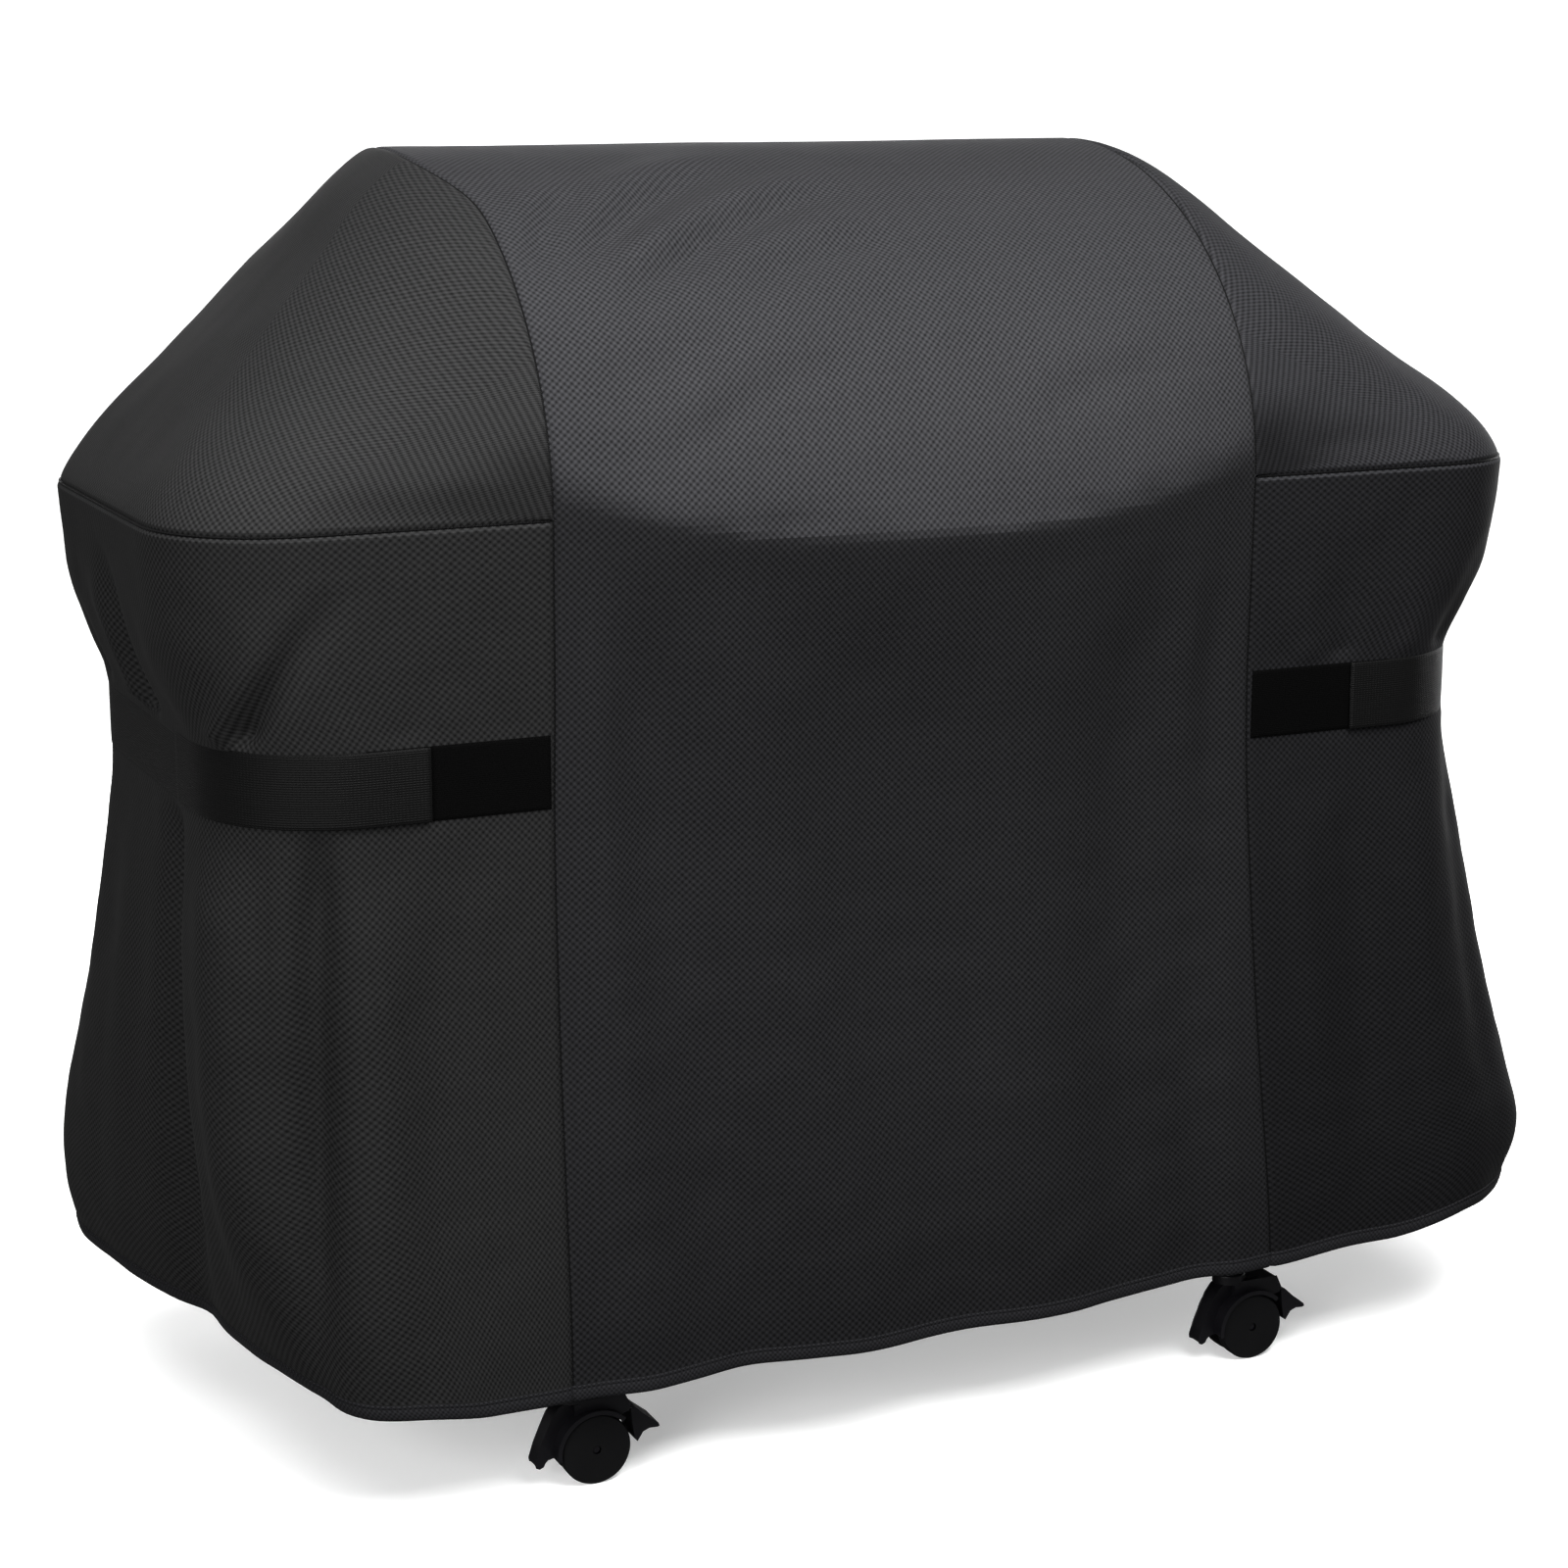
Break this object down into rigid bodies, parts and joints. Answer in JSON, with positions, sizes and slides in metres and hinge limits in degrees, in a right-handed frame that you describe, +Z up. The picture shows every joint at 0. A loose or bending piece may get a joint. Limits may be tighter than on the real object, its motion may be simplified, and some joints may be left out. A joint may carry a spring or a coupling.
{
  "type": "grill cover",
  "caption": "Fitted cloth cover hanging over a rolling grill stand, with peel-off side straps, bound hem and swivel casters with brake pedals.",
  "frame": {"origin": "on the floor, below the middle of the cover", "axes": "+Z up, -Y towards the front, +X towards the viewer's right, along the cover's length"},
  "size_m": [1.512, 0.7096, 1.244],
  "materials": {
    "cover_cloth": "coated Oxford weave, soft sheen",
    "hem_tape": "coated Oxford weave, folded and stitched",
    "seam_thread": "sewn allowance",
    "webbing": "ribbed polypropylene webbing",
    "hook_tape": "hook tape",
    "loop_tape": "loop tape",
    "stand_steel": "satin powder coat",
    "bright_steel": "zinc plated",
    "caster_plastic": "moulded, fine grain",
    "wheel_plastic": "moulded, scuffed tread"
  },
  "bodies": {
    "stand": {"centre_panel": "cover_cloth", "shoulder_panel_left": "cover_cloth", "shoulder_panel_right": "cover_cloth", "skirt_left": "cover_cloth", "skirt_right": "cover_cloth", "hem_binding": "hem_tape", "centre_seam_left": "seam_thread", "centre_seam_right": "seam_thread", "shoulder_seam_left": "seam_thread", "shoulder_seam_right": "seam_thread", "strap_webbing_left": "webbing", "strap_webbing_right": "webbing", "hook_patch_left": "hook_tape", "hook_patch_right": "hook_tape", "bottom_shelf": "stand_steel", "lid_hood": "stand_steel", "lid_end_left": "stand_steel", "lid_end_right": "stand_steel", "side_table_left": "stand_steel", "side_table_right": "stand_steel", "post_front_left": "stand_steel", "post_front_right": "stand_steel", "post_back_left": "stand_steel", "post_back_right": "stand_steel", "top_rail_front": "stand_steel", "top_rail_back": "stand_steel", "top_rail_left": "stand_steel", "top_rail_right": "stand_steel", "caster_stem_front_left": "bright_steel", "caster_stem_front_right": "bright_steel", "caster_stem_back_left": "bright_steel", "caster_stem_back_right": "bright_steel"},
    "tab_left": {"strap_tab_left": "webbing", "loop_patch_left": "loop_tape"},
    "tab_right": {"strap_tab_right": "webbing", "loop_patch_right": "loop_tape"},
    "caster_front_left": {"caster_housing_front_left": "caster_plastic"},
    "wheels_front_left": {"caster_wheel_outer_front_left": "wheel_plastic", "caster_wheel_inner_front_left": "wheel_plastic", "caster_axle_front_left": "bright_steel"},
    "pedal_front_left": {"brake_pedal_front_left": "caster_plastic"},
    "caster_front_right": {"caster_housing_front_right": "caster_plastic"},
    "wheels_front_right": {"caster_wheel_outer_front_right": "wheel_plastic", "caster_wheel_inner_front_right": "wheel_plastic", "caster_axle_front_right": "bright_steel"},
    "pedal_front_right": {"brake_pedal_front_right": "caster_plastic"},
    "caster_back_left": {"caster_housing_back_left": "caster_plastic"},
    "wheels_back_left": {"caster_wheel_outer_back_left": "wheel_plastic", "caster_wheel_inner_back_left": "wheel_plastic", "caster_axle_back_left": "bright_steel"},
    "caster_back_right": {"caster_housing_back_right": "caster_plastic"},
    "wheels_back_right": {"caster_wheel_outer_back_right": "wheel_plastic", "caster_wheel_inner_back_right": "wheel_plastic", "caster_axle_back_right": "bright_steel"}
  },
  "joints": [
    {"name": "strap_peel_left", "type": "hinge", "parent": "stand", "child": "tab_left", "pos_m": [-0.554, -0.3026, 0.694], "axis": [0, 0, -1], "range_deg": [0, 110]},
    {"name": "strap_peel_right", "type": "hinge", "parent": "stand", "child": "tab_right", "pos_m": [0.544, -0.3026, 0.694], "axis": [0, 0, 1], "range_deg": [0, 110]},
    {"name": "swivel_front_left", "type": "hinge", "parent": "stand", "child": "caster_front_left", "pos_m": [-0.367, -0.302, 0.093], "axis": [0, 0, 1], "continuous": true},
    {"name": "roll_front_left", "type": "hinge", "parent": "caster_front_left", "child": "wheels_front_left", "pos_m": [-0.349, -0.302, 0.035], "axis": [0, 1, 0], "continuous": true},
    {"name": "brake_front_left", "type": "hinge", "parent": "caster_front_left", "child": "pedal_front_left", "pos_m": [-0.309, -0.302, 0.064], "axis": [0, 1, 0], "range_deg": [0, 12]},
    {"name": "swivel_front_right", "type": "hinge", "parent": "stand", "child": "caster_front_right", "pos_m": [0.367, -0.302, 0.093], "axis": [0, 0, 1], "continuous": true},
    {"name": "roll_front_right", "type": "hinge", "parent": "caster_front_right", "child": "wheels_front_right", "pos_m": [0.385, -0.302, 0.035], "axis": [0, 1, 0], "continuous": true},
    {"name": "brake_front_right", "type": "hinge", "parent": "caster_front_right", "child": "pedal_front_right", "pos_m": [0.425, -0.302, 0.064], "axis": [0, 1, 0], "range_deg": [0, 12]},
    {"name": "swivel_back_left", "type": "hinge", "parent": "stand", "child": "caster_back_left", "pos_m": [-0.367, 0.222, 0.093], "axis": [0, 0, 1], "continuous": true},
    {"name": "roll_back_left", "type": "hinge", "parent": "caster_back_left", "child": "wheels_back_left", "pos_m": [-0.349, 0.222, 0.035], "axis": [0, 1, 0], "continuous": true},
    {"name": "swivel_back_right", "type": "hinge", "parent": "stand", "child": "caster_back_right", "pos_m": [0.367, 0.222, 0.093], "axis": [0, 0, 1], "continuous": true},
    {"name": "roll_back_right", "type": "hinge", "parent": "caster_back_right", "child": "wheels_back_right", "pos_m": [0.385, 0.222, 0.035], "axis": [0, 1, 0], "continuous": true}
  ]
}
